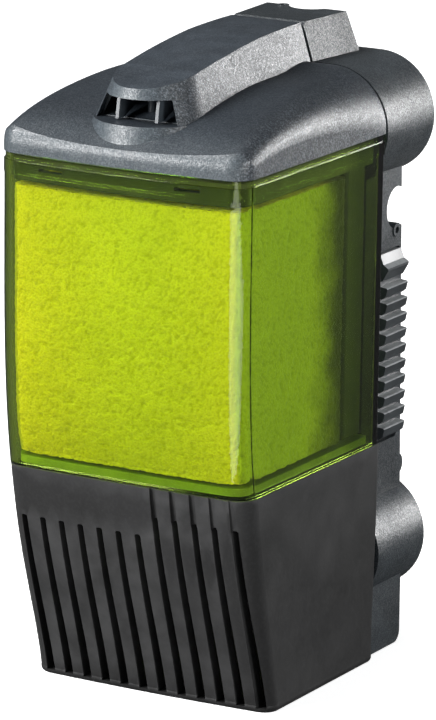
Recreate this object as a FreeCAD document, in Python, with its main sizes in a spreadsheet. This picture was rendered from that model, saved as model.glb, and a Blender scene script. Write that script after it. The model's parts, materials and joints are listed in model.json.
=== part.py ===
import FreeCAD, Part
import Sketcher
import math
import os

# Internal (submersible) aquarium power filter.
# Frame while building: X to the right, Y from the front to the back, Z up.
# Y = 0 is the plane of the front corners of the lid, Z = 0 the underside.
# Every finished piece gets a Placement that moves it back by frame_y, so that
# the origin is the middle of the footprint, on the surface it stands on.

V = FreeCAD.Vector
doc = FreeCAD.newDocument("internal_filter")

# ---------------------------------------------------------------- dimensions
SPEC = [
    ("frame_y", "42.52", "half of the overall depth, front bow to rear face"),
    ("body_hw", "31", "half width of lid, base and both pill housings"),
    # canister
    ("can_hw", "30.9", "half width of the canister below its rim"),
    ("can_wall", "1.5", "canister wall"),
    ("can_back", "63.2", "rear face of the canister"),
    ("can_low", "51.4", "where the canister meets the base rim"),
    ("can_top", "117.4", "underside of the canister rim flange"),
    ("rim_top", "121.8", "top of the canister rim"),
    ("rim_back", "63.6", "rear of the rim flange"),
    ("can_neck_hw", "28.8", "half width of the spigot that plugs into the base"),
    ("can_neck_low", "46.6", "lower end of that spigot"),
    ("lean_top", "0.4", "front face, set back at the canister top"),
    ("lean_mid", "0.75", "front face, set back at mid height"),
    ("lean_knee", "1.6", "front face, set back at the knee"),
    ("lean_low", "3.4", "front face, set back at the canister foot"),
    ("bow_top", "1.46", "bow of the front at the lid"),
    ("bow_low", "0.4", "bow of the front at the base rim"),
    ("corner_r", "4.6", "front corner radius in plan"),
    ("back_r", "0.8", "rear corner radius in plan"),
    # base
    ("base_top", "51.2", "top of the intake base"),
    ("base_back", "63.8", "rear of the intake base"),
    ("base_wall", "2", "wall of the intake base"),
    ("base_floor", "2", "floor of the intake base"),
    ("slot_w_low", "2.2", "intake slot width at the foot"),
    ("slot_w_high", "1.5", "intake slot width at the top"),
    ("slot_pitch", "4.89", "intake slot pitch"),
    ("slot_top_a", "39.8", "top of the seven slots under the bare panel"),
    ("slot_top_b", "44.3", "top of the five longer slots"),
    ("slot_deep", "22", "how far back the slots are cut"),
    # lid
    ("lid_z", "122", "underside of the lid"),
    ("lid_back", "63.6", "rear edge of the lid"),
    ("lid_wall", "2", "lid wall"),
    # rear housing
    ("rear_front", "64.4", "front plane of the rear housing"),
    ("rear_back", "86.5", "rear plane of both pill housings"),
    ("rear_wall", "2", "wall of the rear housing"),
    ("pill_r", "13.85", "end radius of the motor housing"),
    ("pill_z", "122.2", "height of the motor housing axis"),
    ("foot_r", "13.7", "end radius of the lower spacer"),
    ("foot_z", "24.5", "height of the lower spacer axis"),
    ("web_hw", "25.2", "half width of the web between the pills"),
    ("web_back", "86.2", "rear edge of the web at its foot"),
    ("web_back_top", "82.4", "rear edge of the web at the motor housing"),
    ("web_in", "23", "half width of the bracket channel"),
    ("notch_r", "4.9", "bracket notch radius"),
    ("notch_y", "80.6", "bracket notch centre, depth"),
    ("notch_z", "101.6", "bracket notch centre, height"),
    # neck and spout
    ("neck_top", "144.6", "top of the outlet neck"),
    ("neck_low", "133.4", "where the neck runs into the motor housing"),
    ("neck_back", "82.4", "rear plane of the neck"),
    ("neck_thw", "8.9", "half width of the neck at the top, at the seam"),
    ("neck_lhw", "12.6", "half width of the neck at its foot, at the seam"),
    ("neck_thw_b", "10.2", "half width of the neck at the top, at the rear"),
    ("neck_lhw_b", "14.8", "half width of the neck at its foot, at the rear"),
    ("nose_front_low", "0.1", "front of the round nose at height 124"),
    ("nose_front_high", "8.8", "front of the round nose at height 148"),
    ("nose_hw_low", "15.1", "half width of the nose at height 124"),
    ("nose_hw_high", "6.7", "half width of the nose at height 148"),
    ("nose_len_low", "14", "length of the round nose at height 124"),
    ("nose_len_high", "11.9", "length of the round nose at height 148"),
    ("wall_mid_low", "15.7", "half width of the spout at its middle, height 124"),
    ("wall_mid_high", "7.75", "half width of the spout at its middle, height 148"),
    ("wall_end_low", "15.4", "half width of the spout at the seam, height 124"),
    ("wall_end_high", "7.7", "half width of the spout at the seam, height 148"),
    ("spout_y", "14.5", "pivot of the flow director"),
    ("mouth_low", "130.6", "sill of the outlet mouth"),
    ("mouth_top", "135.9", "top of the outlet mouth"),
    # pump
    ("axis_y", "75.4", "pump axis, depth"),
    ("well_ri", "5.8", "rotor well, inner radius"),
    ("well_ro", "6.4", "rotor well, outer radius"),
    ("magnet_r", "5.3", "rotor magnet radius"),
    ("shaft_r", "1", "ceramic shaft radius"),
    ("run_r", "1.06", "bore that runs on the shaft"),
    ("vane_r", "7.0", "impeller radius"),
    ("volute_ri", "7.9", "volute inner radius"),
    ("volute_ro", "8.7", "volute outer radius"),
    # gland
    ("gland_x", "-17", "cable gland, sideways"),
    ("gland_y", "76", "cable gland, depth"),
    ("gland_bore", "2.3", "cable gland bore radius"),
    # grips
    ("grip_z0", "50.2", "foot of the ribbed release grips"),
    ("grip_z1", "91.4", "top of the ribbed release grips"),
    ("rib_z0", "52.1", "ledge of the lowest rib"),
    ("rib_pitch", "3.62", "pitch of the ribs"),
]
sheet = doc.addObject("Spreadsheet::Sheet", "spec")
for i, (alias, text, note) in enumerate(SPEC):
    row = str(i + 1)
    sheet.set("A" + row, text)
    sheet.setAlias("A" + row, alias)
    sheet.set("B" + row, note)
doc.recompute()


class Q:
    """A length that is known both as a number and as a sheet expression."""

    def __init__(self, v, t=None):
        self.v = float(v)
        self.t = t if t is not None else "(%.5f)" % self.v

    def __add__(self, o):
        o = q(o)
        return Q(self.v + o.v, "(%s + %s)" % (self.t, o.t))

    def __sub__(self, o):
        o = q(o)
        return Q(self.v - o.v, "(%s - %s)" % (self.t, o.t))

    def __mul__(self, o):
        o = q(o)
        return Q(self.v * o.v, "(%s * %s)" % (self.t, o.t))

    def __neg__(self):
        return Q(-self.v, "(0 - %s)" % self.t)

    def __radd__(self, o):
        return q(o) + self

    def __rsub__(self, o):
        return q(o) - self

    def __rmul__(self, o):
        return q(o) * self


def q(o):
    return o if isinstance(o, Q) else Q(o)


D = {a: Q(float(t), "spec." + a) for a, t, n in SPEC}
SHIFT = FreeCAD.Placement(V(0, -D["frame_y"].v, 0), FreeCAD.Rotation())


def body(name):
    b = doc.addObject("PartDesign::Body", name)
    b.Label = name
    return b


def plane_of(b, role):
    for o in b.Origin.OriginFeatures:
        if o.Role == role:
            return o
    raise ValueError(role)


def sketch(b, name, plane, off, loops, up=0):
    """plane XY / XZ / YZ at distance off along Z / Y / X; 'up' raises the
    sketch's own horizontal axis, for turned pieces. A loop is a list of
    (x, y) corners or (x, y, mx, my) corners whose next edge is an arc through
    (mx, my); or ("C", cx, cy, r) for a circle."""
    off, up = q(off), q(up)
    sk = b.newObject("Sketcher::SketchObject", name)
    sk.AttachmentSupport = [(plane_of(b, plane + "_Plane"), "")]
    sk.MapMode = "FlatFace"
    normal = -off if plane == "XZ" else off
    sk.AttachmentOffset = FreeCAD.Placement(V(0, up.v, normal.v), FreeCAD.Rotation())
    sk.setExpression("AttachmentOffset.Base.z", normal.t)
    if up.v:
        sk.setExpression("AttachmentOffset.Base.y", up.t)

    def pin(kind, g, pos, val):
        val = q(val)
        if abs(val.v) < 1e-9:
            sk.addConstraint(Sketcher.Constraint("PointOnObject", g, pos, -2 if kind == "DistanceX" else -1))
        else:
            k = sk.addConstraint(Sketcher.Constraint(kind, g, pos, val.v))
            if "spec." in val.t:
                sk.setExpression("Constraints[%d]" % k, val.t)

    for loop in loops:
        if loop[0] == "C":
            _, cx, cy, r = loop
            cx, cy, r = q(cx), q(cy), q(r)
            g = sk.addGeometry(Part.Circle(V(cx.v, cy.v, 0), V(0, 0, 1), r.v), False)
            pin("DistanceX", g, 3, cx)
            pin("DistanceY", g, 3, cy)
            k = sk.addConstraint(Sketcher.Constraint("Radius", g, r.v))
            if "spec." in r.t:
                sk.setExpression("Constraints[%d]" % k, r.t)
            continue
        n = len(loop)
        geo, ends = [], []
        for i in range(n):
            a, c = loop[i], loop[(i + 1) % n]
            pa = V(q(a[0]).v, q(a[1]).v, 0)
            pc = V(q(c[0]).v, q(c[1]).v, 0)
            if len(a) == 4:
                pm = V(q(a[2]).v, q(a[3]).v, 0)
                arc = Part.Arc(pa, pm, pc)
                g = sk.addGeometry(arc, False)
                # an arc is stored anticlockwise: find which end is which
                cr = (pm - pa).cross(pc - pm).z
                ends.append((1, 2) if cr > 0 else (2, 1))
            else:
                g = sk.addGeometry(Part.LineSegment(pa, pc), False)
                ends.append((1, 2))
            geo.append(g)
        for i in range(n):
            j = (i + 1) % n
            sk.addConstraint(Sketcher.Constraint("Coincident", geo[i], ends[i][1], geo[j], ends[j][0]))
        for i in range(n):
            a = loop[i]
            pin("DistanceX", geo[i], ends[i][0], a[0])
            pin("DistanceY", geo[i], ends[i][0], a[1])
            if len(a) == 4:
                mx, my = q(a[2]), q(a[3])
                p = sk.addGeometry(Part.Point(V(mx.v, my.v, 0)), True)
                pin("DistanceX", p, 1, mx)
                pin("DistanceY", p, 1, my)
                sk.addConstraint(Sketcher.Constraint("PointOnObject", p, 1, geo[i]))
    return sk


def rect(x0, y0, x1, y1):
    return [(x0, y0), (x1, y0), (x1, y1), (x0, y1)]


S45 = math.sqrt(0.5)


def rrect(x0, y0, x1, y1, r):
    """rectangle with rounded corners"""
    x0, y0, x1, y1, r = q(x0), q(y0), q(x1), q(y1), q(r)
    k = r * (1 - S45)
    return [
        (x0 + r, y0), (x1 - r, y0, x1 - k, y0 + k),
        (x1, y0 + r), (x1, y1 - r, x1 - k, y1 - k),
        (x1 - r, y1), (x0 + r, y1, x0 + k, y1 - k),
        (x0, y1 - r), (x0, y0 + r, x0 + k, y0 + k),
    ]


def stadium(hw, zc, r):
    hw, zc, r = q(hw), q(zc), q(r)
    return [(-(hw - r), zc - r), (hw - r, zc - r, hw, zc), (hw - r, zc + r), (-(hw - r), zc + r, -hw, zc)]


def plan(hw, y0, y1, bow, r, rb):
    """plan outline: bowed front, rounded front corners, small rear corners"""
    hw, y0, y1, bow, r, rb = q(hw), q(y0), q(y1), q(bow), q(r), q(rb)
    k, kb = r * (1 - S45), rb * (1 - S45)
    return [
        (-(hw - r), y0, Q(0), y0 - bow),
        (hw - r, y0, hw - k, y0 + k),
        (hw, y0 + r),
        (hw, y1 - rb, hw - kb, y1 - kb),
        (hw - rb, y1),
        (-(hw - rb), y1, -(hw - kb), y1 - kb),
        (-hw, y1 - rb),
        (-hw, y0 + r, -(hw - k), y0 + k),
    ]


def feat(b, kind, name, sk, length=None, rev=False, mid=False):
    f = b.newObject("PartDesign::" + kind, name)
    f.Profile = sk
    if length is not None:
        length = q(length)
        f.Length = length.v
        if "spec." in length.t:
            f.setExpression("Length", length.t)
    f.Reversed = rev
    if mid:
        f.Midplane = True
    doc.recompute()
    return f


def vol(b):
    return b.Shape.Volume if not b.Shape.isNull() else 0.0


def pad(b, name, sk, length, rev=False, mid=False):
    v0 = vol(b) if b.Tip else 0.0
    f = feat(b, "Pad", name, sk, length, rev, mid)
    if vol(b) <= v0:
        raise RuntimeError("pad adds nothing: " + name)
    return f


def pocket(b, name, sk, length, rev=False, mid=False):
    """length is measured along the sketch normal when rev is True and against
    it when rev is False; the volume is compared so that a cut is a cut"""
    v0 = vol(b)
    f = feat(b, "Pocket", name, sk, length, rev, mid)
    if not vol(b) < v0 - 1e-6:
        raise RuntimeError("pocket cuts nothing: " + name)
    return f


def loft(b, name, sks, cut=False):
    v0 = vol(b) if b.Tip else 0.0
    f = b.newObject("PartDesign::SubtractiveLoft" if cut else "PartDesign::AdditiveLoft", name)
    f.Profile = sks[0]
    f.Sections = sks[1:]
    doc.recompute()
    if cut and not vol(b) < v0 - 1e-6 or not cut and vol(b) <= v0:
        raise RuntimeError("loft does nothing: " + name)
    return f


def turn(b, name, sk, axis="H_Axis", cut=False):
    f = b.newObject("PartDesign::Groove" if cut else "PartDesign::Revolution", name)
    f.Profile = sk
    f.ReferenceAxis = (sk, [axis])
    f.Angle = 360
    doc.recompute()
    return f


def dress(b, kind, name, base, edges, size):
    f = b.newObject("PartDesign::" + kind, name)
    f.Base = (base, edges)
    if kind == "Fillet":
        f.Radius = size
    else:
        f.Size = size
    doc.recompute()
    if "Invalid" in f.State or "Error" in f.State or f.Shape.isNull() or not f.Shape.isValid():
        raise RuntimeError("edge treatment failed: " + name)
    return f


def pick(shape, test):
    return ["Edge%d" % (i + 1) for i, e in enumerate(shape.Edges) if test(e)]


NODES = []


def done(obj, label=None):
    obj.Label = label or obj.Label
    obj.Placement = SHIFT
    NODES.append(obj)
    print("built", obj.Label, flush=True)
    return obj


hw, AZ, AY = D["body_hw"], D["pill_z"], D["axis_y"]
W, RF, RB = D["rear_wall"], D["rear_front"], D["rear_back"]

# ------------------------------------------------------------------ canister
# Clear moulding, open at the top, with a thicker rim flange and a spigot below
# that plugs into the intake base. The front leans back towards the foot.
b = body("canister")
cr, br = D["corner_r"], D["back_r"]
can_sections = [
    (D["can_low"], D["lean_low"], D["bow_low"]),
    (Q(66), D["lean_knee"], Q(0.7)),
    (Q(80.6), D["lean_mid"], Q(1.0)),
    (D["can_top"], D["lean_top"], Q(1.35)),
]
sk = [sketch(b, "can_out%d" % i, "XY", z, [plan(D["can_hw"], y, D["can_back"], bow, cr, br)])
      for i, (z, y, bow) in enumerate(can_sections)]
loft(b, "shell", sk)
s = sketch(b, "rim_plan", "XY", D["can_top"], [plan(hw, Q(0), D["rim_back"], D["bow_top"], cr + 0.5, br)])
pad(b, "rim", s, Q(2.9))
s = sketch(b, "rim_band_plan", "XY", D["can_top"] + 2.9, [plan(hw - 0.35, Q(0.35), D["rim_back"] - 0.2, D["bow_top"], cr + 0.15, br)])
pad(b, "rim_band", s, D["rim_top"] - D["can_top"] - 2.9)
nk = D["can_neck_hw"]
s = sketch(b, "neck_plan", "XY", D["can_low"], [plan(nk, D["lean_low"] + 1.9, D["can_back"] - 1.6, Q(0.3), cr - 1.5, br)])
pad(b, "spigot", s, D["can_low"] - D["can_neck_low"], rev=True)
w = D["can_wall"]
sk = [sketch(b, "can_in%d" % i, "XY", z, [plan(D["can_hw"] - w, y + w, D["can_back"] - w, bow, cr - w, Q(0.8))])
      for i, (z, y, bow) in enumerate(
          [(D["can_low"] + 0.2, D["lean_low"], D["bow_low"]), (Q(66), D["lean_knee"], Q(0.7)),
           (Q(80.6), D["lean_mid"], Q(1.0)), (D["rim_top"] + 0.2, D["lean_top"], Q(1.35))])]
loft(b, "hollow", sk, cut=True)
s = sketch(b, "neck_in", "XY", D["can_neck_low"] - 0.1,
           [plan(nk - w, D["lean_low"] + 3.4, D["can_back"] - 3.1, Q(0.3), cr - 2.5, Q(0.8))])
pocket(b, "spigot_bore", s, Q(5.4), rev=True)
done(b)

# --------------------------------------------------------------- intake base
b = body("intake_base")
base_sections = [
    (Q(1.6), Q(30.25), Q(16.4), Q(0.7), Q(3.8)),
    (Q(12.8), Q(30.3), Q(13.2), Q(0.65), Q(4.2)),
    (Q(25.6), Q(30.6), Q(9.2), Q(0.6), Q(4.6)),
    (Q(38.4), Q(30.8), Q(5.7), Q(0.5), Q(5)),
    (D["base_top"], D["body_hw"] - 0.1, Q(3.2), D["bow_low"], Q(5.2)),
]
sk = [sketch(b, "base_out%d" % i, "XY", z, [plan(h, y, D["base_back"], bow, r, br)])
      for i, (z, h, y, bow, r) in enumerate(base_sections)]
loft(b, "shell", sk)
# the underside is rounded into the walls
sk = [sketch(b, "toe%d" % i, "XY", Q(z), [plan(Q(h), Q(y), D["base_back"] - e, bo, r, br)])
      for i, (z, h, y, e, bo, r) in enumerate([
          (0, 29.8, 17.1, 0.4, Q(0.64), Q(3.4)), (0.3, 30.05, 16.7, 0.15, Q(0.67), Q(3.6)), (1.6, 30.25, 16.4, 0, Q(0.7), Q(3.8))])]
loft(b, "toe", sk)
bw = D["base_wall"]
sk = [sketch(b, "base_in%d" % i, "XY", z, [plan(h - bw - e, y + bw + e, D["base_back"] - bw, bow, r - 1.5, Q(0.8))])
      for i, (z, h, y, bow, r, e) in enumerate([
          (D["base_floor"], Q(30.0), Q(16.5), Q(0.7), Q(4.0), Q(0.6)),
          (Q(12.8), Q(30.3), Q(13.2), Q(0.65), Q(4.6), Q(0.6)),
          (Q(25.6), Q(30.6), Q(9.2), Q(0.6), Q(4.8), Q(0.6)),
          (Q(38.4), Q(30.7), Q(5.6), Q(0.5), Q(5), Q(0.8)),
          (D["can_neck_low"] - 0.2, Q(30.8), Q(4.1), Q(0.4), Q(5.5), Q(1.2))])]
loft(b, "hollow", sk, cut=True)
s = sketch(b, "socket_plan", "XY", D["can_neck_low"] - 0.25,
           [plan(nk + 0.2, D["lean_low"] + 1.65, D["can_back"] - 1.35, Q(0.3), cr - 1.4, br)])
pocket(b, "socket", s, Q(6), rev=True)
sp = D["slot_pitch"]
hl, hh = D["slot_w_low"] * 0.5, D["slot_w_high"] * 0.5


def slot(i, top):
    """slot outline, wider and a little further over at the foot"""
    xt, xb = sp * (i - 5.5) + 0.42, sp * (i - 5.5) + 0.92
    return [(xb - hl, Q(1.0)), (xb + hl, Q(1.0)), (xt + hh, top - 0.3), (xt + hh - 0.3, top), (xt - hh + 0.3, top), (xt - hh, top - 0.3)]


s = sketch(b, "slots_a", "XZ", Q(-1), [slot(i, D["slot_top_a"]) for i in range(7)])
pocket(b, "slots_under_panel", s, D["slot_deep"] + 1)
s = sketch(b, "slots_b", "XZ", Q(-1), [slot(i, D["slot_top_b"]) for i in range(7, 12)])
pocket(b, "slots_long", s, D["slot_deep"] + 1)
for i in range(7, 12):
    s = sketch(b, "flute%d" % i, "YZ", sp * (i - 5.5) + 0.3, [[(Q(0.5), Q(43.8)), (Q(5.05), Q(43.8)), (Q(3.45), Q(51.4)), (Q(0.5), Q(51.4))]])
    pocket(b, "flute_cut%d" % i, s, Q(1.5), mid=True)
done(b)

# -------------------------------------------------------------- rear housing
b = body("rear_housing")
s = sketch(b, "web_side", "YZ", Q(0), [[
    (RF, Q(0.2)), (D["web_back"] - 4, Q(0.2), D["web_back"] - 4 * (1 - S45), Q(0.2 + 4 * (1 - S45))),
    (D["web_back"], Q(4.2)), (D["web_back_top"], Q(112)), (RF, Q(112))]])
pad(b, "web", s, D["web_hw"] * 2, mid=True)
s = sketch(b, "channel", "XZ", D["web_back"] + 1, [rect(-D["web_in"], D["foot_z"] + D["foot_r"] - 0.6, D["web_in"], AZ - D["pill_r"] + 0.2)])
pocket(b, "bracket_channel", s, D["web_back"] + 1 - RF - W, rev=True)
s = sketch(b, "channel_low", "XZ", D["web_back"] + 1, [rect(-D["web_in"], Q(-1), D["web_in"], D["foot_z"] - D["foot_r"] + 0.6)])
pocket(b, "lower_channel", s, D["web_back"] + 1 - RF - W, rev=True)
s = sketch(b, "pill_top", "XZ", RB, [stadium(hw, AZ, D["pill_r"])])
pad(b, "motor_pill", s, RB - RF)
s = sketch(b, "pill_low", "XZ", RB, [stadium(hw, D["foot_z"], D["foot_r"])])
pad(b, "spacer_pill", s, RB - RF)
for sgn, nm in ((1, "right"), (-1, "left")):
    s = sketch(b, "heel_" + nm, "YZ", Q(28.2 * sgn), [[
        (RF, Q(0.2)), (Q(78.2), Q(0.2), Q(79.97), Q(0.93)), (Q(80.7), Q(2.7)), (Q(80.7), D["foot_z"]), (RF, D["foot_z"])]])
    pad(b, "heel_pad_" + nm, s, Q(3.4), rev=(sgn > 0))
zt, zb, wt, wb = D["neck_top"], D["neck_low"], D["neck_thw"], D["neck_lhw"]
NB, wtb, wbb = D["neck_back"], D["neck_thw_b"], D["neck_lhw_b"]
s0 = sketch(b, "neck_seam", "XZ", RF, [[(-wb, zb), (wb, zb), (wt, zt), (-wt, zt)]])
s1 = sketch(b, "neck_rear", "XZ", NB, [[(-wbb, zb), (wbb, zb), (wtb, zt), (-wtb, zt)]])
loft(b, "neck", [s0, s1])
s = sketch(b, "motor_room", "XZ", RB + 1, [stadium(hw - W, AZ, D["pill_r"] - W)])
pocket(b, "motor_cavity", s, RB + 1 - RF - W, rev=True)
s = sketch(b, "spacer_room", "XZ", RF - 1, [stadium(hw - W, D["foot_z"], D["foot_r"] - W)])
pocket(b, "spacer_cavity", s, RB - RF - W + 1)
k = 0.52
s = sketch(b, "duct", "XZ", RF - 1, [[(-(wt + 0.5), Q(137.4)), (wt + 0.5, Q(137.4)), (wt - 0.9, Q(142.6)), (-(wt - 0.9), Q(142.6))]])
pocket(b, "neck_duct", s, Q(14.4))
s = sketch(b, "riser_hole", "XY", Q(133), [rect(Q(3.5), AY - 3.9, Q(8.7), AY + 3.4)])
pocket(b, "pump_outlet", s, Q(6), rev=True)
s = sketch(b, "inlet_window", "XZ", RF - 1, [rrect(Q(12), Q(123.5), Q(26), Q(130.5), Q(1.5))])
pocket(b, "pump_inlet", s, Q(4.2))
s = sketch(b, "gland_hole", "XY", Q(132), [("C", D["gland_x"], D["gland_y"], Q(3.0))])
pocket(b, "gland_seat", s, Q(6), rev=True)
s = sketch(b, "side_notch", "YZ", Q(0), [("C", D["notch_y"], D["notch_z"], D["notch_r"])])
pocket(b, "bracket_notches", s, Q(70), mid=True)
for sgn, nm in ((1, "right"), (-1, "left")):
    xo = D["web_hw"] * sgn if sgn > 0 else -D["web_hw"]
    xi = D["web_in"] if sgn > 0 else -D["web_in"]
    s = sketch(b, "nib_" + nm, "YZ", xo + 0.25 * sgn, [("C", Q(80.4), Q(96.45), Q(1.65))])
    pad(b, "nib_pad_" + nm, s, D["web_hw"] - D["web_in"] + 0.25, rev=(sgn > 0))
    s = sketch(b, "nib_eye_" + nm, "YZ", xo + 0.5 * sgn, [("C", Q(80.4), Q(96.45), Q(0.8))])
    pocket(b, "nib_eye_cut_" + nm, s, Q(1.6), rev=(sgn < 0))
    s = sketch(b, "nub_" + nm, "YZ", xo + 0.05 * sgn, [("C", Q(83.4), Q(41.0), Q(2.6))])
    pad(b, "nub_pad_" + nm, s, Q(2.25), rev=(sgn > 0))
    s = sketch(b, "grip_win_" + nm, "YZ", xo + 1.0 * sgn, [rrect(Q(71.9), Q(48.0), Q(82.4), Q(92.6), Q(0.8))])
    pocket(b, "grip_window_" + nm, s, Q(3.4), rev=(sgn < 0))
s = sketch(b, "top_notch", "XY", Q(139.6), [("C", Q(0), NB + 1.9, D["notch_r"])])
pocket(b, "top_notch_cut", s, Q(6), rev=True)
s = sketch(b, "top_nib", "XY", Q(139.6), [("C", Q(-5.4), NB - 1.2, Q(1.4))])
pad(b, "top_nib_pad", s, D["neck_top"] + 0.2 - 139.6)
s = sketch(b, "nib_hole", "XY", Q(142), [("C", Q(-5.4), NB - 1.2, Q(0.75))])
pocket(b, "nib_hole_cut", s, Q(3), rev=True)
# bevelled front edge of the neck, just behind the seam with the spout
s = sketch(b, "bevel", "YZ", Q(0), [[(RF - 0.1, Q(146)), (RF - 0.1, Q(143.75)), (RF, Q(143.75)), (RF + 1.2, Q(144.6)), (RF + 1.2, Q(146))]])
pocket(b, "neck_bevel", s, Q(40), mid=True)
# locating rim that enters the lid and leaves a shadow gap
s = sketch(b, "rim_ring", "XZ", RF + 0.2, [stadium(hw - 2.3, AZ, D["pill_r"] - 2.3), stadium(hw - 3.5, AZ, D["pill_r"] - 3.5)])
pad(b, "locating_rim", s, Q(2.6))
s = sketch(b, "rim_trim", "XY", Q(105), [rect(Q(-32), Q(60), Q(32), RF)])
pocket(b, "rim_trim_cut", s, D["lid_z"] + 1.9 - 105, rev=True)
done(b)

# ---------------------------------------------------------------- motor cover
b = body("motor_cover")
g = Q(0.2)
s = sketch(b, "plate", "XZ", RB, [stadium(hw - W - g, AZ, D["pill_r"] - W - g)])
pad(b, "cover", s, W)
s = sketch(b, "recess", "XZ", RB, [stadium(hw - W - 2.6, AZ, D["pill_r"] - W - 2.6)])
pocket(b, "cover_recess", s, Q(0.6), rev=True)
done(b)

# ------------------------------------------------------------------ lid
def vault(name, inset, ys, zlow):
    """vaulted solid: sections across the lid, taller and rounder to the rear"""
    v = body(name)
    sks = []
    for i, (y, zr, r) in enumerate(ys):
        h = hw - inset
        zr, r = Q(zr - inset), Q(max(r - inset, 1.0))
        kk = r * (1 - S45)
        sks.append(sketch(v, "%s_s%d" % (name, i), "XZ", Q(y), [[
            (-h, Q(zlow)), (h, Q(zlow)), (h, zr - r, h - kk, zr - kk), (h - r, zr),
            (-(h - r), zr, -(h - kk), zr - kk), (-h, zr - r)]]))
    loft(v, name + "_loft", sks)
    return v


ROOF = [(-4.0, 124.6, 3.2), (3.0, 128.0, 4.2), (8.0, 130.1, 5.0), (14.0, 131.8, 5.7), (27.0, 134.15, 7.4),
        (40.0, 135.4, 9.2), (53.0, 135.95, 11.3), (63.6, 136.05, 13.8)]
outer = vault("lid_vault", 0.0, ROOF, 118.0)
ROOF_IN = [(-4.0, 124.8, 3.2)] + ROOF[1:-1] + [(66.0, 136.05, 13.8)]
inner = vault("lid_vault_in", D["lid_wall"].v, ROOF_IN, 118.0)
pl = body("lid_plan")
# the front edge is rounded back into the roof
sk = [sketch(pl, "lid_outline%d" % i, "XY", D["lid_z"] + dz, [plan(hw, Q(y), D["lid_back"], D["bow_top"], cr + 0.5, Q(0.4))])
      for i, (dz, y) in enumerate([(0, 0), (2.2, 0), (3.7, 0.4), (4.9, 1.25), (5.9, 2.5), (7.3, 5.0), (15, 16)])]
loft(pl, "lid_prism", sk)
pi = body("lid_plan_in")
lw = D["lid_wall"]
s = sketch(pi, "lid_inline", "XY", D["lid_z"] - 1, [plan(hw - lw, lw, D["lid_back"] + 1.5, D["bow_top"], cr - 1.5, Q(0.3))])
pad(pi, "lid_prism_in", s, Q(26))


def boolean(kind, name, a, c):
    o = doc.addObject("Part::" + kind, name)
    o.Base, o.Tool = a, c
    doc.recompute()
    if o.Shape.isNull() or not o.Shape.isValid():
        raise RuntimeError("boolean failed: " + name)
    return o


lid_solid = boolean("Common", "lid_solid", outer, pl)
lid_room = boolean("Common", "lid_room", inner, pi)

# the spout: a long wedge along the middle, with a round nose
C30 = math.sqrt(0.75)


def spout(name, inset, yend, ztop_drop):
    sb = body(name)
    i = inset
    sks = []
    for tag, z in (("low", 124), ("high", 148)):
        front = D["nose_front_" + tag] + i
        h, m, e = (D[k + tag] - i for k in ("nose_hw_", "wall_mid_", "wall_end_"))
        yc = D["nose_front_" + tag] + D["nose_len_" + tag]
        ln = D["nose_len_" + tag] - i
        sks.append(sketch(sb, name + "_" + tag, "XY", Q(z), [[
            (-h, yc, -(h * C30), yc - ln * 0.5), (-(h * 0.5), yc - ln * C30, Q(0), front),
            (h * 0.5, yc - ln * C30, h * C30, yc - ln * 0.5),
            (h, yc, m, Q(39)), (e, yend), (-e, yend, -m, Q(39))]]))
    loft(sb, name + "_body", sks)
    tb = body(name + "_cap")
    d = ztop_drop
    s4 = sketch(tb, name + "_side", "YZ", Q(0), [[
        (Q(-4), Q(120)), (Q(70), Q(120)), (Q(70), Q(144.6 - d), Q(57), Q(144.55 - d)), (Q(45), Q(144.1 - d), Q(20), Q(140.95 - d)),
        (Q(-4), Q(136.0 - d))]])
    pad(tb, name + "_under", s4, Q(60), mid=True)
    return boolean("Common", name + "_solid", sb, tb)


sp_out = spout("spout", 0.0, D["lid_back"], 0.0)
sp_in = spout("spout_in", 1.5, D["lid_back"] + 1, 1.5)
# the hollow of the spout starts at the sill and stays above the lid's roof
fb = body("sill_block")
s = sketch(fb, "sill", "YZ", Q(0), [[(Q(-6), Q(110)), (Q(66), Q(110)), (Q(66), D["mouth_low"]), (Q(-6), D["mouth_low"])]])
pad(fb, "sill_pad", s, Q(80), mid=True)
h1 = boolean("Cut", "duct_above_sill", sp_in, fb)
h2 = boolean("Cut", "duct_hollow", h1, lid_solid)
mb = body("mouth_cut")
s = sketch(mb, "mouth", "XZ", Q(-4), [[(Q(-10.1), D["mouth_low"]), (Q(10.1), D["mouth_low"]), (Q(8.1), D["mouth_top"]), (Q(-8.1), D["mouth_top"])]])
pad(mb, "mouth_pad", s, Q(14), rev=True)
pb = body("pivot_hole")
s = sketch(pb, "pivot", "XY", Q(128), [("C", Q(0), D["spout_y"], Q(1.16))])
pad(pb, "pivot_pad", s, Q(5))

# the sill of the mouth stands a little proud, as a lip round the nose
cb = body("chin_lip")
CY = 16.2


def lip(t, ca, cf):
    return Q(ca * math.cos(math.radians(t))), Q(CY - (CY - cf) * math.sin(math.radians(t)))


sk = [sketch(cb, "chin%d" % i, "XY", z, [[
    lip(151, ca, cf) + lip(135.5, ca, cf), lip(120, ca, cf) + lip(90, ca, cf), lip(60, ca, cf) + lip(44.5, ca, cf), lip(29, ca, cf)]])
      for i, (z, ca, cf) in enumerate([(Q(126), 14.9, 0.3), (D["mouth_low"], 13.4, 1.8)])]
loft(cb, "chin_loft", sk)

u0 = boolean("Fuse", "lid_with_spout", lid_solid, sp_out)
u1 = boolean("Fuse", "lid_with_lip", u0, cb)
u2 = boolean("Cut", "lid_cut_room", u1, lid_room)
u3 = boolean("Cut", "lid_cut_duct", u2, h2)
u4 = boolean("Cut", "lid_cut_mouth", u3, mb)
lid = boolean("Cut", "lid", u4, pb)
done(lid, "lid")

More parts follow.
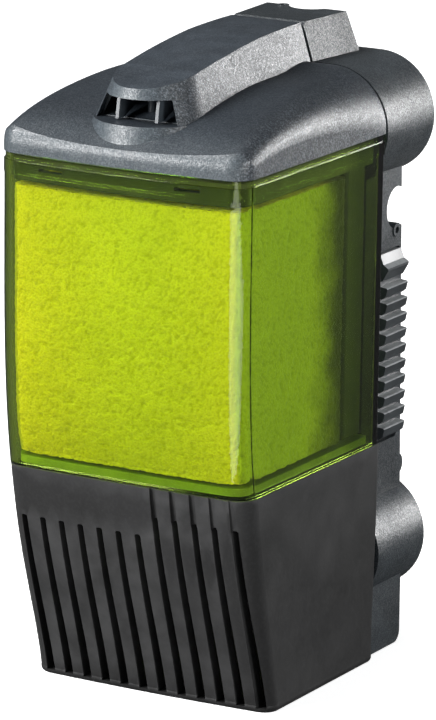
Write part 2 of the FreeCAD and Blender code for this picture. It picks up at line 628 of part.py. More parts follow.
# --------------------------------------------------------------- flow director
b = body("flow_director")
SY = D["spout_y"]
for x, nm in ((5.5, "r"), (-4.3, "l")):
    s = sketch(b, "vane_" + nm, "YZ", Q(x), [[
        (Q(6.6), Q(130.95)), (Q(9.0), Q(130.95)), (Q(10.4), Q(131.6)), (Q(13.4), Q(132.8)), (Q(13.4), Q(136.3)), (Q(10.8), Q(136.3)), (Q(10.2), Q(135.6)), (Q(7.4), Q(135.6))]])
    pad(b, "vane_pad_" + nm, s, Q(0.75), mid=True)
    if x > 0:
        sp1 = sketch(b, "bridge", "XY", Q(135.7), [rrect(Q(-4.7), Q(11.0), Q(5.9), SY + 2.6, Q(1.0))])
        pad(b, "bridge_pad", sp1, Q(0.6))
        sp2 = sketch(b, "pin", "XY", Q(135.7), [("C", Q(0), SY, Q(1.1))])
        pad(b, "pivot_pin", sp2, Q(5.9), rev=True)
done(b)

# ------------------------------------------------------------- outlet gasket
b = body("outlet_gasket")
s = sketch(b, "ring", "XZ", RF - 0.05, [
    [(-(wt + 1.2), Q(136.9)), (wt + 1.2, Q(136.9)), (wt - 0.4, Q(143.0)), (-(wt - 0.4), Q(143.0))],
    [(-(wt + 0.4), Q(137.6)), (wt + 0.4, Q(137.6)), (wt - 1.1, Q(142.4)), (-(wt - 1.1), Q(142.4))]])
pad(b, "gasket", s, Q(0.7))
done(b)

# --------------------------------------------------------- head frame and seal
b = body("head_frame")
fh = D["can_hw"] - D["can_wall"] - 0.45
s = sketch(b, "frame_plan", "XY", Q(115.9), [
    plan(fh, Q(2.15), Q(60.2), Q(1.3), Q(3.7), Q(0.8)), plan(fh - 2.2, Q(4.35), Q(58), Q(1.3), Q(2.2), Q(0.6))])
pad(b, "frame", s, Q(7.6))
s = sketch(b, "seal_groove", "XY", Q(119.9), [
    plan(fh + 1, Q(1), Q(61.2), Q(1.3), Q(4), Q(0.8)), plan(fh - 0.9, Q(3.05), Q(59.3), Q(1.3), Q(2.9), Q(0.6))])
pocket(b, "groove", s, Q(1.3), rev=True)
s = sketch(b, "bars", "XY", Q(115.9), [rect(Q(-27.6), Q(15 + 10.5 * i), Q(27.6), Q(16.6 + 10.5 * i)) for i in range(3)])
pad(b, "cross_bars", s, Q(2))
for sgn, nm in ((1, "r"), (-1, "l")):
    x0, x1 = (Q(13.5), Q(19.6)) if sgn > 0 else (Q(-20.4), Q(-14.3))
    s = sketch(b, "slit_" + nm, "XZ", Q(0), [rect(x0, Q(118.3), x1, Q(119.1))])
    pocket(b, "lug_slit_" + nm, s, Q(6))
done(b)

b = body("seal_ring")
s = sketch(b, "seal_plan", "XY", Q(120.0), [
    plan(fh + 0.15, Q(2.0), Q(60.35), Q(1.3), Q(3.8), Q(0.8)), plan(fh - 0.8, Q(2.95), Q(59.4), Q(1.3), Q(2.95), Q(0.6))])
pad(b, "seal", s, Q(1.1))
done(b)

# ------------------------------------------------------------------- riser
b = body("riser_panel")
s = sketch(b, "riser_plan", "XY", Q(54.4), [rrect(Q(-27.4), Q(50.5), Q(27.4), Q(59.6), Q(1.2)), rect(Q(-25.6), Q(52.3), Q(25.6), Q(57.8))])
pad(b, "riser", s, Q(61.3))
s = sketch(b, "riser_slots", "XZ", Q(49.3), [rrect(Q(-20 + 10 * i), Q(60), Q(-16 + 10 * i), Q(104), Q(1.5)) for i in range(5)])
pocket(b, "riser_slots_cut", s, Q(4))
done(b)

# ------------------------------------------------------------------- cartridge
b = body("cartridge_tray")
s = sketch(b, "tray_plan", "XY", Q(51.9), [plan(Q(28.7), Q(5.4), Q(60.1), Q(0.4), Q(3.6), Q(0.8))] + [
    rect(Q(-25 + 10.4 * i), Q(9.5 + 12.4 * j), Q(-25 + 10.4 * i + 8.4), Q(9.5 + 12.4 * j + 10.2)) for i in range(5) for j in range(4)])
pad(b, "tray", s, Q(1.7))
done(b)

b = body("foam_cartridge")
sk = [sketch(b, "foam%d" % i, "XY", Q(z), [plan(Q(h), Q(y), Q(49.9), Q(bow), Q(2.6), Q(2))])
      for i, (z, h, y, bow) in enumerate([(54.2, 28.95, 5.4, 0.4), (66, 29.0, 3.55, 0.7), (80.6, 29.0, 2.65, 1.0), (115.5, 29.05, 2.35, 1.3)])]
loft(b, "foam", sk)
done(b)

# ---------------------------------------------------------------------- motor
def turned(name, pts, x_at=None):
    """piece turned about the pump axis; pts are (x along the axis, radius)"""
    tb = body(name)
    s = sketch(tb, name + "_profile", "XZ", AY, [pts], up=AZ)
    turn(tb, name + "_turned", s)
    return tb


wi, wo = D["well_ri"], D["well_ro"]
b = turned("rotor_can", [(Q(-11.8), Q(0)), (Q(-11.8), wo), (Q(1.6), wo), (Q(1.6), Q(8.7)), (Q(2.8), Q(8.7)), (Q(2.8), wi), (Q(-11.2), wi), (Q(-11.2), Q(0))])
done(b)

b = body("stator_core")
s = sketch(b, "c_core", "XZ", AY + 5.5, [[
    (Q(-22), AZ - 9.6), (Q(1), AZ - 9.6), (Q(1), AZ - 3.5), (Q(-9.5), AZ - 3.5), (Q(-9.5), AZ - 7.0), (Q(-17), AZ - 7.0),
    (Q(-17), AZ + 7.0), (Q(-9.5), AZ + 7.0), (Q(-9.5), AZ + 3.5), (Q(1), AZ + 3.5), (Q(1), AZ + 9.6), (Q(-22), AZ + 9.6)]])
pad(b, "core", s, Q(11))
s = sketch(b, "bore", "YZ", Q(-9.6), [("C", AY, AZ, wo + 0.15)])
pocket(b, "pole_bore", s, Q(11), rev=True)
done(b)

b = body("coil_bobbin")
s = sketch(b, "b_tube", "XY", AZ - 6.7, [rect(Q(-22.7), AY - 6.2, Q(-16.3), AY + 6.2)])
pad(b, "tube", s, Q(13.4))
for nm, z in (("low", AZ - 6.7), ("high", AZ + 5.9)):
    s = sketch(b, "fl_" + nm, "XY", z, [rrect(Q(-26.4), AY - 7.9, Q(-12.4), AY + 7.9, Q(1.5))])
    pad(b, "flange_" + nm, s, Q(0.8))
s = sketch(b, "b_bore", "XY", AZ - 7, [rect(Q(-22.1), AY - 5.6, Q(-16.9), AY + 5.6)])
pocket(b, "bobbin_bore", s, Q(14), rev=True)
done(b)

b = body("coil_winding")
s = sketch(b, "w_plan", "XY", AZ - 5.8, [rrect(Q(-26), AY - 7.5, Q(-12.9), AY + 7.5, Q(2.5)), rect(Q(-22.8), AY - 6.3, Q(-16.2), AY + 6.3)])
pad(b, "winding", s, Q(11.6))
done(b)

b = turned("rotor_magnet", [(Q(-8.8), D["run_r"]), (Q(-8.8), D["magnet_r"]), (Q(1.0), D["magnet_r"]), (Q(1.0), D["run_r"])])
done(b)

b = turned("impeller", [(Q(1.05), D["run_r"]), (Q(1.05), Q(2.6)), (Q(3.3), Q(2.6)), (Q(3.3), D["vane_r"]), (Q(4.1), D["vane_r"]), (Q(4.1), Q(2.6)), (Q(8.4), Q(2.0)), (Q(8.4), D["run_r"])])
s = sketch(b, "blade", "YZ", Q(4.0), [rect(AY - 0.4, AZ + 1.9, AY + 0.4, AZ + D["vane_r"] - 0.1)])
f = pad(b, "blade_pad", s, Q(4.2))
ax = sketch(b, "spin_axis", "XZ", AY, [], up=AZ)
ax.addGeometry(Part.LineSegment(V(-5, 0, 0), V(10, 0, 0)), False)
p = b.newObject("PartDesign::PolarPattern", "blades")
p.Originals = [f]
p.Axis = (ax, ["Edge1"])
p.Angle = 360
p.Occurrences = 5
b.Tip = p
doc.recompute()
done(b)

b = turned("ceramic_shaft", [(Q(-11.1), Q(0)), (Q(-11.1), D["shaft_r"]), (Q(12.6), D["shaft_r"]), (Q(12.6), Q(0))])
done(b)
b = turned("inner_bearing", [(Q(-11.1), D["shaft_r"] + 0.02), (Q(-11.1), wi - 0.05), (Q(-9.3), wi - 0.05), (Q(-9.3), D["shaft_r"] + 0.02)])
done(b)
b = turned("outer_bearing", [(Q(10.7), D["shaft_r"] + 0.02), (Q(10.7), Q(1.85)), (Q(12.5), Q(1.85)), (Q(12.5), D["shaft_r"] + 0.02)])
done(b)

b = turned("volute", [(Q(2.95), D["volute_ri"]), (Q(2.95), D["volute_ro"]), (Q(9.0), D["volute_ro"]), (Q(9.0), D["volute_ri"])])
s = sketch(b, "spigot_out", "XY", AZ + 7.6, [rect(Q(3.4), AY - 3.8, Q(8.8), AY + 3.3)])
pad(b, "spigot", s, Q(4.0))
s = sketch(b, "spigot_in", "XY", AZ + 6.5, [rect(Q(4.2), AY - 3.0, Q(8.0), AY + 2.5)])
pocket(b, "spigot_bore", s, Q(6.5), rev=True)
done(b)

b = turned("impeller_cover", [(Q(9.1), Q(4.6)), (Q(9.1), D["volute_ro"]), (Q(10.3), D["volute_ro"]), (Q(10.3), Q(4.6))])
s = sketch(b, "spokes", "YZ", Q(9.1), [rect(AY - 5.2, AZ - 0.5, AY + 5.2, AZ + 0.5)])
pad(b, "spoke_h", s, Q(1.2))
s = sketch(b, "spokes_v", "YZ", Q(9.1), [rect(AY - 0.5, AZ - 5.2, AY + 0.5, AZ + 5.2)])
pad(b, "spoke_v", s, Q(1.2))
s = sketch(b, "hub", "YZ", Q(9.1), [("C", AY, AZ, Q(2.7))])
pad(b, "hub_pad", s, Q(3.9))
s = sketch(b, "hub_bore", "YZ", Q(9.0), [("C", AY, AZ, Q(1.9))])
pocket(b, "hub_hole", s, Q(3.7), rev=True)
done(b)

# ---------------------------------------------------------------- cable gland
b = body("cable_gland")
GX, GY, GB = D["gland_x"], D["gland_y"], D["gland_bore"]
s = sketch(b, "gland_flange", "XY", Q(136.15), [("C", GX, GY, Q(4.0))])
pad(b, "flange", s, Q(1.2))
s = sketch(b, "gland_shank", "XY", Q(133.0), [("C", GX, GY, Q(2.95))])
pad(b, "shank", s, Q(3.4))
s0 = sketch(b, "gland_cone0", "XY", Q(137.3), [("C", GX, GY, Q(3.7))])
s1 = sketch(b, "gland_cone1", "XY", Q(139.7), [("C", GX, GY, Q(3.1))])
loft(b, "cone", [s0, s1])
s = sketch(b, "gland_hole", "XY", Q(132.9), [("C", GX, GY, GB)])
pocket(b, "gland_bore_cut", s, Q(7), rev=True)
done(b)

# -------------------------------------------------------------- release grips
# Ribbed tongues in the sides of the web. Each turns about its foot.
rp, rz = D["rib_pitch"], D["rib_z0"]
for sgn, nm in ((1, "right_grip"), (-1, "left_grip")):
    b = body(nm)
    x_in = Q(23.1 * sgn)
    s = sketch(b, "tongue", "YZ", x_in, [rrect(Q(72.2), D["grip_z0"] - 1.2, Q(81.9), D["grip_z1"] + 0.8, Q(0.6))])
    pad(b, "tongue_pad", s, Q(2.5), rev=(sgn < 0))
    # ramp at the top, with a bevelled lip
    s = sketch(b, "lead", "XZ", Q(82.1), [[
        (Q(25.5 * sgn), Q(86.1)), (Q(26.3 * sgn), Q(86.2)), (Q(27.7 * sgn), Q(88.7)), (Q(27.7 * sgn), Q(89.2)),
        (Q(26.5 * sgn), Q(89.95)), (Q(25.65 * sgn), Q(92.1)), (Q(25.5 * sgn), Q(92.1))]])
    pad(b, "lead_in", s, Q(9.9))
    # each rib is a ledge over a face that runs back in towards the next ledge
    s = sketch(b, "rib_side", "XZ", Q(82.1), [
        [(Q(25.5 * sgn), rz + rp * i - 2.75), (Q(26.3 * sgn), rz + rp * i - 2.7), (Q(27.2 * sgn), rz + rp * i - 2.0),
         (Q(27.6 * sgn), rz + rp * i - 0.25), (Q(27.35 * sgn), rz + rp * i), (Q(25.5 * sgn), rz + rp * i + 0.2)] for i in range(10)])
    pad(b, "ribs", s, Q(9.9))
    # round barrel at the foot, on the line it turns about
    s = sketch(b, "barrel", "XZ", Q(81.9), [("C", Q(24.1 * sgn), D["grip_z0"], Q(1.3))])
    pad(b, "barrel_pad", s, Q(9.7))
    done(b)

# ---------------------------------------------------------------------- check
doc.recompute()
bad = []
for o in doc.Objects:
    if "Invalid" in o.State or "Error" in o.State:
        bad.append((o.Name, o.State))
for o in NODES:
    sh = o.Shape
    if sh.isNull() or not sh.isValid():
        bad.append((o.Label, "shape"))
    bb = sh.optimalBoundingBox(False)
    print("%-18s solids %d  vol %9.1f  box %s" % (
        o.Label, len(sh.Solids), sh.Volume,
        " ".join("%.2f" % t for t in (bb.XMin, bb.XMax, bb.YMin, bb.YMax, bb.ZMin, bb.ZMax))))
if bad:
    raise SystemExit("failed objects: %s" % bad)
os.makedirs("parts", exist_ok=True)
for o in NODES:
    o.Shape.exportStep("parts/%s.step" % o.Label)
print("wrote", len(NODES), "parts")
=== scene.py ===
import bpy
import bmesh
import json
import math
import random
from mathutils import Vector, Matrix, noise

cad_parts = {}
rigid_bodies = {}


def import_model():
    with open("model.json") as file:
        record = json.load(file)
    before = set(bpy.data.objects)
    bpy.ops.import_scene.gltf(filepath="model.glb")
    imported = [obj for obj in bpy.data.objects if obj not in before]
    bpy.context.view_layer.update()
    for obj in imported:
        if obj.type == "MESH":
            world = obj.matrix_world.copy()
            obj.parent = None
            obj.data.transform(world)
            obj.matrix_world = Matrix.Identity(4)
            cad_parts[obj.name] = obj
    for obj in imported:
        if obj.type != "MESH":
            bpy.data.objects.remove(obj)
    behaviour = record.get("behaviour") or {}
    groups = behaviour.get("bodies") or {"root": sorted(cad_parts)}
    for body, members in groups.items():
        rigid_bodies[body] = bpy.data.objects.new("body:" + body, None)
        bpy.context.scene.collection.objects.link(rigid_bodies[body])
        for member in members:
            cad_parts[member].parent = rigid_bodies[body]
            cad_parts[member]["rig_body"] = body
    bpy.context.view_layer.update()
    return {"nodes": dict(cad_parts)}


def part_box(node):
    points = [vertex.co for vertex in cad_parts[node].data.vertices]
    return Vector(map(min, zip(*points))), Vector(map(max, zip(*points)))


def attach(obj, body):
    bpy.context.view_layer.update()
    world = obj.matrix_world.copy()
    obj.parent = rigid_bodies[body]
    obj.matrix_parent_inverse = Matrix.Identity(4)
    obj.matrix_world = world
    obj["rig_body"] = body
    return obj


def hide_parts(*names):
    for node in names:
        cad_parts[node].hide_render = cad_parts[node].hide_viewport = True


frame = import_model()
nodes = frame["nodes"]
scene = bpy.context.scene
scene.view_settings.view_transform = "Standard"

FY = 0.04252  # the row frame's Y origin, from the front plane
MM = 0.001


# ------------------------------------------------------------------ node help
class Mat:
    """A material with a Principled shader and short helpers for its nodes."""

    def __init__(self, name, rough=0.5, spec=0.5, metal=0.0, coat=0.0, coat_rough=0.1, ior=1.5):
        self.m = bpy.data.materials.new(name)
        self.m.use_nodes = True
        self.nt = self.m.node_tree
        self.nt.nodes.clear()
        self.out = self.nt.nodes.new("ShaderNodeOutputMaterial")
        self.b = self.nt.nodes.new("ShaderNodeBsdfPrincipled")
        self.nt.links.new(self.b.outputs[0], self.out.inputs[0])
        i = self.b.inputs
        i["Roughness"].default_value = rough
        i["Specular IOR Level"].default_value = spec
        i["Metallic"].default_value = metal
        i["Coat Weight"].default_value = coat
        i["Coat Roughness"].default_value = coat_rough
        i["IOR"].default_value = ior
        self.tc = self.nt.nodes.new("ShaderNodeTexCoord")

    def link(self, a, b):
        self.nt.links.new(a, b)

    def noise(self, scale, detail=3.0, rough=0.5, vec=None, dist=0.0):
        n = self.nt.nodes.new("ShaderNodeTexNoise")
        n.inputs["Scale"].default_value = scale
        n.inputs["Detail"].default_value = detail
        n.inputs["Roughness"].default_value = rough
        n.inputs["Distortion"].default_value = dist
        self.link(vec or self.tc.outputs["Object"], n.inputs["Vector"])
        return n.outputs["Fac"]

    def voronoi(self, scale, feature="F1", rand=1.0, vec=None, out="Distance", smooth=None):
        n = self.nt.nodes.new("ShaderNodeTexVoronoi")
        n.feature = feature
        n.inputs["Scale"].default_value = scale
        n.inputs["Randomness"].default_value = rand
        if smooth is not None:
            n.inputs["Smoothness"].default_value = smooth
        self.link(vec or self.tc.outputs["Object"], n.inputs["Vector"])
        return n.outputs[out]

    def ramp(self, src, stops, interp="LINEAR"):
        n = self.nt.nodes.new("ShaderNodeValToRGB")
        n.color_ramp.interpolation = interp
        while len(n.color_ramp.elements) < len(stops):
            n.color_ramp.elements.new(0.5)
        for e, (p, c) in zip(n.color_ramp.elements, stops):
            e.position = p
            e.color = tuple(c) + (1.0,) if len(c) == 3 else tuple(c)
        self.link(src, n.inputs[0])
        return n.outputs[0]

    def span(self, src, a, b, c, d, clamp=True):
        n = self.nt.nodes.new("ShaderNodeMapRange")
        n.clamp = clamp
        for k, v in zip((1, 2, 3, 4), (a, b, c, d)):
            n.inputs[k].default_value = v
        self.link(src, n.inputs[0])
        return n.outputs[0]

    def math(self, op, a, b=None, c=None):
        n = self.nt.nodes.new("ShaderNodeMath")
        n.operation = op
        for k, v in enumerate((a, b, c)):
            if v is None:
                continue
            if isinstance(v, (int, float)):
                n.inputs[k].default_value = v
            else:
                self.link(v, n.inputs[k])
        return n.outputs[0]

    def mix(self, fac, a, b, mode="MIX"):
        n = self.nt.nodes.new("ShaderNodeMix")
        n.data_type = "RGBA"
        n.blend_type = mode
        for k, v in ((0, fac), (6, a), (7, b)):
            if isinstance(v, (int, float)):
                n.inputs[k].default_value = v
            elif isinstance(v, (tuple, list)):
                n.inputs[k].default_value = tuple(v) + (1.0,)
            else:
                self.link(v, n.inputs[k])
        return n.outputs[2]

    def bump(self, height, dist, strength=1.0, normal=None):
        n = self.nt.nodes.new("ShaderNodeBump")
        n.inputs["Strength"].default_value = strength
        n.inputs["Distance"].default_value = dist
        self.link(height, n.inputs["Height"])
        if normal is not None:
            self.link(normal, n.inputs["Normal"])
        return n.outputs[0]

    def xyz(self):
        n = self.nt.nodes.new("ShaderNodeSeparateXYZ")
        self.link(self.tc.outputs["Object"], n.inputs[0])
        return n.outputs

    def put(self, socket, src):
        self.link(src, self.b.inputs[socket])


def moulded(name, dark, light, rough=(0.3, 0.5), spec=0.5, cloud=35.0, dust=0.25, scuff=0.25, micro=0.004, wave=0.2,
            speck=0.0, speck_size=0.27, top=0.15, front=0.35, side=1.0, worn=0.55, ledge_highlight=0.0, front_sheen=0.0):
    """Moulded plastic: cloudy colour, dust and pale rubbed streaks, edges
    worn a little lighter. With speck, the face has a spark-eroded grain whose
    glossy tips stand at their own angles and are painted paler, a painted
    glint, while its pits are painted darker, a painted shade; top, front and
    side say how strongly these painted glints and shade show on faces that
    look up, forward and sideways. With ledges, faces that look up are painted
    pale, a painted highlight. With haze, faces that look forward are painted
    paler, a painted sheen."""
    m = Mat(name, spec=spec)
    c = m.noise(cloud, 4.0, 0.55)
    col = m.mix(m.span(c, 0.35, 0.68, 0.0, 1.0), dark, light)
    fine = m.noise(1300.0, 2.0, 0.6)
    col = m.mix(m.span(fine, 0.45, 0.75, 0.0, dust), col, tuple(min(1.0, x * 1.7 + 0.004) for x in light))
    if scuff:
        streak = m.noise(210.0, 6.0, 0.7, dist=1.4)
        col = m.mix(m.span(streak, 0.68, 0.80, 0.0, scuff), col, tuple(min(1.0, x * 2.4 + 0.010) for x in light))
    geo = m.nt.nodes.new("ShaderNodeNewGeometry")
    rub = m.math("MULTIPLY", m.span(geo.outputs["Pointiness"], 0.53, 0.60, 0.0, worn), m.span(m.noise(160.0, 4.0, 0.6), 0.35, 0.65, 0.3, 1.0))
    col = m.mix(rub, col, tuple(min(1.0, x * 2.2 + 0.012) for x in light))
    if ledge_highlight:
        sep = m.nt.nodes.new("ShaderNodeSeparateXYZ")
        m.link(geo.outputs["Normal"], sep.inputs[0])
        # painted highlight: faces that look up are painted pale, standing in for light on the ledges
        up = m.math("MULTIPLY", m.span(sep.outputs[2], 0.45, 0.7, 0.0, ledge_highlight), m.span(m.noise(420.0, 3.0, 0.6), 0.3, 0.6, 0.55, 1.0))
        col = m.mix(up, col, (0.46, 0.48, 0.49))
    if front_sheen:
        fwd = m.nt.nodes.new("ShaderNodeSeparateXYZ")
        m.link(geo.outputs["True Normal"], fwd.inputs[0])
        # painted sheen: faces that look forward are painted paler
        front_sheen_mask = m.math("MULTIPLY", m.span(m.math("MULTIPLY", fwd.outputs[1], -1.0), 0.30, 0.85, 0.0, front_sheen), m.span(m.noise(130.0, 4.0, 0.6), 0.3, 0.65, 0.55, 1.0))
        col = m.mix(front_sheen_mask, col, (0.072, 0.088, 0.098))
    rr = m.span(m.noise(90.0, 4.0, 0.6), 0.3, 0.7, rough[0], rough[1])
    low = m.bump(m.noise(60.0, 2.0, 0.5), 0.00012, wave)
    if speck:
        v = m.nt.nodes.new("ShaderNodeTexVoronoi")
        v.feature = "F1"
        v.inputs["Scale"].default_value = 1.0 / (speck_size * MM)
        m.link(m.tc.outputs["Object"], v.inputs["Vector"])
        one = m.nt.nodes.new("ShaderNodeSeparateColor")
        m.link(v.outputs["Color"], one.inputs[0])
        # painted glints: the grain's tips are painted pale
        glint_tip = m.span(one.outputs[0], 0.45, 1.0, 0.0, 1.0)
        glint_tip = m.math("MULTIPLY", m.math("POWER", glint_tip, 1.6), m.span(m.noise(700.0, 2.0, 0.5), 0.35, 0.6, 0.35, 1.0))
        # painted shade: the grain's pits are painted darker
        pit_shade = m.span(one.outputs[1], 0.0, 0.5, 1.0, 0.0)
        amount = speck
        look = m.nt.nodes.new("ShaderNodeSeparateXYZ")
        m.link(geo.outputs["True Normal"], look.inputs[0])
        # the painted glints and pit shade are set by which way the face looks, strongest on the sides where the
        # highlights fall
        sx = m.span(m.math("ABSOLUTE", look.outputs[0]), 0.15, 0.75, 0.0, side)
        sy = m.span(m.math("MULTIPLY", look.outputs[1], -1.0), 0.2, 0.8, 0.0, front)
        glint_facing = m.math("MAXIMUM", m.math("MAXIMUM", sx, sy), top)
        glint_tip, pit_shade = m.math("MULTIPLY", glint_tip, glint_facing), m.math("MULTIPLY", pit_shade, glint_facing)
        col = m.mix(m.math("MULTIPLY", pit_shade, 0.6), col, tuple(x * 0.45 for x in dark))
        col = m.mix(m.math("MULTIPLY", glint_tip, amount), col, tuple(min(1.0, x * 6.0 + 0.10) for x in light))
        rr = m.math("SUBTRACT", rr, m.math("MULTIPLY", glint_tip, 0.12))
        m.put("Specular IOR Level", m.span(one.outputs[0], 0.2, 1.0, spec * 0.5, min(1.0, spec * 2.0)))
        h = m.math("ADD", m.math("MULTIPLY", v.outputs["Distance"], -1.0), m.math("MULTIPLY", one.outputs[2], 0.8))
        nrm = m.bump(h, 0.00004, 0.9, low)
    else:
        nrm = m.bump(m.noise(2600.0, 2.0, 0.5), micro * MM * 6, 0.35, low)
    m.put("Base Color", col)
    m.put("Roughness", rr)
    m.put("Normal", nrm)
    return m


# ------------------------------------------------------------------ materials
lid_m = moulded("lid_grain_glint_sheen", (0.013, 0.017, 0.022), (0.020, 0.026, 0.033), rough=(0.32, 0.42), spec=0.72, dust=0.3,
                speck=0.5, speck_size=0.27, front=0.2, front_sheen=0.8)
housing_m = moulded("housing_grain_and_glint", (0.015, 0.019, 0.022), (0.023, 0.028, 0.032), rough=(0.30, 0.42), spec=0.5,
                    dust=0.3, speck=0.35, speck_size=0.27, top=0.05, front=0.1, side=0.45)
satin_m = moulded("satin_grey", (0.030, 0.037, 0.042), (0.044, 0.052, 0.058), rough=(0.30, 0.42), spec=0.5)
grip_m = moulded("grip_grey", (0.013, 0.016, 0.018), (0.021, 0.025, 0.028), rough=(0.30, 0.42), spec=0.5, ledge_highlight=0.7)
black_m = moulded("satin_black", (0.019, 0.019, 0.019), (0.028, 0.028, 0.0285), rough=(0.34, 0.46), spec=0.4, dust=0.3,
                  scuff=0.22, worn=0.7)
inner_m = moulded("inner_black", (0.004, 0.006, 0.003), (0.008, 0.011, 0.006), rough=(0.45, 0.6), spec=0.2)
nozzle_m = moulded("nozzle_grey", (0.020, 0.026, 0.032), (0.032, 0.040, 0.048), rough=(0.3, 0.4), spec=0.5)
tray_m = moulded("tray_lime", (0.08, 0.11, 0.010), (0.13, 0.16, 0.014), rough=(0.35, 0.5), spec=0.4)
rubber_m = moulded("soft_rubber", (0.012, 0.012, 0.012), (0.025, 0.025, 0.025), rough=(0.6, 0.8), spec=0.3)
white_m = moulded("bobbin_white", (0.55, 0.55, 0.50), (0.68, 0.68, 0.63), rough=(0.4, 0.55), spec=0.5)
ceramic_m = moulded("ceramic", (0.75, 0.73, 0.68), (0.85, 0.84, 0.80), rough=(0.15, 0.25), spec=0.6, scuff=False)
ferrite_m = moulded("ferrite", (0.03, 0.03, 0.032), (0.06, 0.06, 0.063), rough=(0.4, 0.6), spec=0.5)


def metal(name, col, rough, bands, axis):
    m = Mat(name, metal=1.0)
    w = m.nt.nodes.new("ShaderNodeTexWave")
    w.wave_type = "BANDS"
    w.bands_direction = axis
    w.inputs["Scale"].default_value = bands
    w.inputs["Distortion"].default_value = 0.4
    m.link(m.tc.outputs["Object"], w.inputs["Vector"])
    n = m.noise(400.0, 4.0)
    m.put("Base Color", m.mix(m.math("MULTIPLY", w.outputs["Fac"], n), tuple(x * 0.45 for x in col), col))
    m.put("Roughness", m.span(n, 0.3, 0.7, rough, rough + 0.2))
    m.put("Normal", m.bump(w.outputs["Fac"], 0.00006, 0.8))
    return m


steel_m = metal("lamination_steel", (0.42, 0.42, 0.44), 0.35, 700.0, "Y")
copper_m = metal("enamelled_copper", (0.72, 0.30, 0.12), 0.3, 1100.0, "Z")


def clear_green():
    """Clear green plastic: the green colour comes from absorption in the thickness,
    so the edges go dark. Lamps and diffuse bounces reach what is behind it
    through the transparent shader, everything else sees glass."""
    m = Mat("clear_green", rough=0.03, ior=1.49)
    m.b.inputs["Transmission Weight"].default_value = 1.0
    tone = m.mix(m.span(m.noise(22.0, 3.0), 0.35, 0.65, 0.0, 1.0), (0.93, 0.97, 0.88), (0.97, 0.99, 0.92))
    # painted shade: the colour darkens at the suction end, behind the foam
    m.put("Base Color", m.mix(m.span(m.xyz()[1], 0.003, 0.010, 0.0, 1.0), tone, (0.50, 0.54, 0.42)))
    m.put("Roughness", m.span(m.noise(180.0, 5.0, 0.6), 0.45, 0.8, 0.02, 0.10))
    m.put("Normal", m.bump(m.noise(28.0, 2.0, 0.4), 0.0004, 0.2))
    t = m.nt.nodes.new("ShaderNodeBsdfTransparent")
    t.inputs[0].default_value = (0.96, 0.98, 0.93, 1.0)
    lp = m.nt.nodes.new("ShaderNodeLightPath")
    mix = m.nt.nodes.new("ShaderNodeMixShader")
    m.link(m.math("MAXIMUM", lp.outputs["Is Shadow Ray"], lp.outputs["Is Diffuse Ray"]), mix.inputs[0])
    m.link(m.b.outputs[0], mix.inputs[1])
    m.link(t.outputs[0], mix.inputs[2])
    m.link(mix.outputs[0], m.out.inputs[0])
    va = m.nt.nodes.new("ShaderNodeVolumeAbsorption")
    va.inputs["Color"].default_value = (0.78, 0.91, 0.14, 1.0)
    va.inputs["Density"].default_value = 640.0
    m.link(va.outputs[0], m.out.inputs["Volume"])
    return m


def foam():
    """Open-cell foam. The pores are in the mesh; its pore attribute is 1 on
    the struts and 0 in the cells."""
    m = Mat("filter_foam", rough=0.85, spec=0.12)
    at = m.nt.nodes.new("ShaderNodeAttribute")
    at.attribute_type = "GEOMETRY"
    at.attribute_name = "pore"
    big = m.noise(45.0, 4.0, 0.6)
    col = m.mix(m.span(big, 0.3, 0.7, 0.0, 1.0), (0.64, 0.57, 0.030), (0.74, 0.65, 0.045))
    # painted shade: the recessed cells are painted darker
    col = m.mix(m.span(at.outputs["Fac"], 0.15, 0.7, 0.55, 0.0), col, (0.38, 0.36, 0.005))
    fine = m.voronoi(1900.0, "F1", 1.0)
    # painted shade: the fine pits are painted darker
    col = m.mix(m.span(fine, 0.1, 0.6, 0.35, 0.0), col, (0.28, 0.27, 0.004))
    # painted shade from the per-vertex tint colour: greener and darker to one side, near black at the suction end
    painted_shade = m.nt.nodes.new("ShaderNodeAttribute")
    painted_shade.attribute_type = "GEOMETRY"
    painted_shade.attribute_name = "painted_shade"
    col = m.mix(1.0, col, painted_shade.outputs["Color"], "MULTIPLY")
    m.put("Base Color", col)
    m.put("Normal", m.bump(fine, 0.0003, 0.5))
    m.b.inputs["Sheen Weight"].default_value = 0.15
    m.b.inputs["Sheen Roughness"].default_value = 0.5
    return m


green_m = clear_green()
foam_m = foam()


def paint(node, mat):
    o = nodes[node]
    for s in o.material_slots:
        s.material = mat.m
    if not o.material_slots:
        o.data.materials.append(mat.m)


for n, mt in (("lid", lid_m), ("rear_housing", housing_m), ("motor_cover", housing_m), ("flow_director", nozzle_m),
              ("intake_base", black_m), ("head_frame", inner_m), ("riser_panel", inner_m), ("cartridge_tray", tray_m),
              ("canister", green_m), ("seal_ring", rubber_m), ("outlet_gasket", rubber_m),
              ("cable_gland", rubber_m), ("right_grip", grip_m), ("left_grip", grip_m), ("rotor_can", inner_m),
              ("stator_core", steel_m), ("coil_bobbin", white_m), ("coil_winding", copper_m), ("rotor_magnet", ferrite_m),
              ("impeller", white_m), ("ceramic_shaft", ceramic_m), ("inner_bearing", rubber_m), ("outer_bearing", rubber_m),
              ("volute", inner_m), ("impeller_cover", inner_m)):
    paint(n, mt)


def soften(node, width, seg=2, angle=32):
    o = nodes[node]
    b = o.modifiers.new("edge", "BEVEL")
    b.width = width * MM
    b.segments = seg
    b.limit_method = "ANGLE"
    b.angle_limit = math.radians(angle)
    b.harden_normals = False
    b.use_clamp_overlap = True


